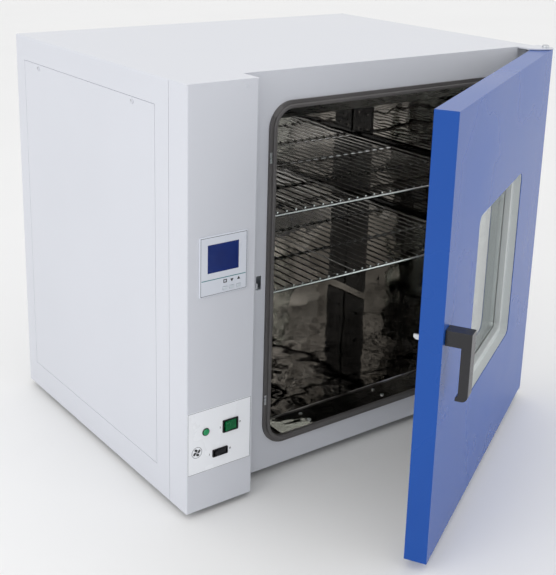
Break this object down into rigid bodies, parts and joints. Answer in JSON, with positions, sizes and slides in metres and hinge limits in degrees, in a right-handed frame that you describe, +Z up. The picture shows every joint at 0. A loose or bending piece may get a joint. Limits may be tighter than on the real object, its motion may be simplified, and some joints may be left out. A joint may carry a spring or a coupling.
{
  "type": "drying oven",
  "caption": "Bench-top forced-air drying oven, light grey cabinet with a control column, polished chamber, wire shelves and a blue hinged door with a window and a turning handle.",
  "frame": {"origin": "on the floor under the middle of the oven's bounding box, door ajar", "axes": "+X to the right seen from the front, +Y to the back, +Z up"},
  "size_m": [0.829, 0.993, 0.735],
  "materials": {
    "cabinet_paint": "light grey powder coat",
    "door_paint": "blue powder coat, satin",
    "mirror_steel": "mirror-polished stainless steel",
    "inner_steel": "bright stainless sheet",
    "zinc_steel": "zinc-plated steel",
    "shelf_wire": "chromed wire",
    "heater_steel": "heat-darkened steel tube",
    "motor_paint": "black enamel",
    "fan_aluminium": "pressed sheet",
    "glass_wool": "fibrous wool",
    "gasket_rubber": "silicone rubber",
    "foot_rubber": "moulded rubber",
    "handle_black": "fine-textured moulding",
    "black_plastic": "moulded nylon",
    "bezel_plastic": "pale moulded plastic",
    "display_blue": "liquid-crystal display behind a clear window",
    "key_grey": "moulded keys",
    "plate_white": "printed film",
    "switch_green": "translucent green",
    "lamp_green": "translucent green lens",
    "window_grey": "light grey moulding",
    "clear_glass": "toughened glass",
    "spacer_aluminium": "satin",
    "bearing_brass": "turned bush"
  },
  "bodies": {
    "cabinet": {"outer_shell": "cabinet_paint", "service_panel": "cabinet_paint", "painted_screws": "cabinet_paint", "column_cover": "cabinet_paint", "front_fascia": "cabinet_paint", "base_pan": "zinc_steel", "back_panel": "cabinet_paint", "feet": "foot_rubber", "upper_hinge_plate": "cabinet_paint", "lower_hinge_plate": "cabinet_paint", "hinge_pins": "zinc_steel", "chamber_liner": "mirror_steel", "insulation": "glass_wool", "compartment_wall": "zinc_steel", "duct_plate": "inner_steel", "pan_head_screws": "zinc_steel", "shelf_uprights": "inner_steel", "shelf_rails": "inner_steel", "fan_motor": "motor_paint", "motor_bracket": "zinc_steel", "heater_tubes": "heater_steel", "temperature_probe": "inner_steel", "door_gasket": "gasket_rubber", "gasket_clips": "inner_steel", "exhaust_port": "inner_steel", "mains_gland": "black_plastic", "controller_bezel": "bezel_plastic", "controller_display": "display_blue", "controller_case": "black_plastic", "switch_plate": "plate_white", "power_switch_housing": "black_plastic", "fan_switch_housing": "black_plastic", "heating_lamp": "lamp_green", "latch_keeper": "zinc_steel"},
    "door": {"door_skin": "door_paint", "door_inner_pan": "inner_steel", "door_core": "glass_wool", "window_frame": "window_grey", "outer_pane": "clear_glass", "pane_spacer": "spacer_aluminium", "inner_pane": "clear_glass", "window_trim": "inner_steel", "window_trim_screws": "zinc_steel", "hinge_bushes": "bearing_brass", "handle_bush": "bearing_brass", "latch_guide": "black_plastic"},
    "handle": {"door_handle": "handle_black", "handle_shaft": "zinc_steel"},
    "latch": {"latch_tongue": "zinc_steel"},
    "fan": {"fan_impeller": "fan_aluminium"},
    "shelf_low": {"lower_shelf": "shelf_wire"},
    "shelf_high": {"upper_shelf": "shelf_wire"},
    "power_rocker": {"power_rocker": "switch_green"},
    "fan_rocker": {"fan_rocker": "black_plastic"},
    "set_key": {"set_key": "key_grey"},
    "down_key": {"down_key": "key_grey"},
    "up_key": {"up_key": "key_grey"},
    "damper": {"exhaust_damper": "inner_steel"},
    "roller": {"keeper_roller": "zinc_steel"}
  },
  "joints": [
    {"name": "door_hinge", "type": "hinge", "parent": "cabinet", "child": "door", "pos_m": [0.3993, -0.12326, 0.3716], "axis": [0, 0, 1], "range_deg": [-29.3, 150.7]},
    {"name": "handle_turn", "type": "hinge", "parent": "door", "child": "handle", "pos_m": [-0.16706, -0.45611, 0.391], "axis": [0.4894, -0.8721, 0], "range_deg": [0, 90]},
    {"name": "latch_lift", "type": "slide", "parent": "door", "child": "latch", "axis": [0, 0, 1], "range_m": [0, 0.004]},
    {"name": "fan_spin", "type": "hinge", "parent": "cabinet", "child": "fan", "pos_m": [-0.2505, 0.13264, 0.3685], "axis": [1, 0, 0], "continuous": true},
    {"name": "shelf_low_slide", "type": "slide", "parent": "cabinet", "child": "shelf_low", "axis": [0, -1, 0], "range_m": [0, 0.06]},
    {"name": "shelf_high_slide", "type": "slide", "parent": "cabinet", "child": "shelf_high", "axis": [0, -1, 0], "range_m": [0, 0.06]},
    {"name": "power_rocker_tilt", "type": "hinge", "parent": "cabinet", "child": "power_rocker", "pos_m": [-0.3289, -0.13566, 0.1521], "axis": [0, 0, -1], "range_deg": [0, 14]},
    {"name": "fan_rocker_tilt", "type": "hinge", "parent": "cabinet", "child": "fan_rocker", "pos_m": [-0.349, -0.13566, 0.1084], "axis": [0, 0, -1], "range_deg": [0, 14]},
    {"name": "set_key_press", "type": "slide", "parent": "cabinet", "child": "set_key", "axis": [0, 1, 0], "range_m": [0, 0.0005], "stiffness_N_per_m": 600},
    {"name": "down_key_press", "type": "slide", "parent": "cabinet", "child": "down_key", "axis": [0, 1, 0], "range_m": [0, 0.0005], "stiffness_N_per_m": 600},
    {"name": "up_key_press", "type": "slide", "parent": "cabinet", "child": "up_key", "axis": [0, 1, 0], "range_m": [0, 0.0005], "stiffness_N_per_m": 600},
    {"name": "damper_turn", "type": "hinge", "parent": "cabinet", "child": "damper", "pos_m": [0.2315, 0.49224, 0.5735], "axis": [0, 1, 0], "range_deg": [0, 90]},
    {"name": "roller_spin", "type": "hinge", "parent": "cabinet", "child": "roller", "pos_m": [-0.245, -0.08686, 0.3595], "axis": [0, 0, 1], "continuous": true}
  ],
  "couplings": [
    {"joint": "latch_lift", "follows": "handle_turn", "m_per_rad": 0.00254}
  ]
}
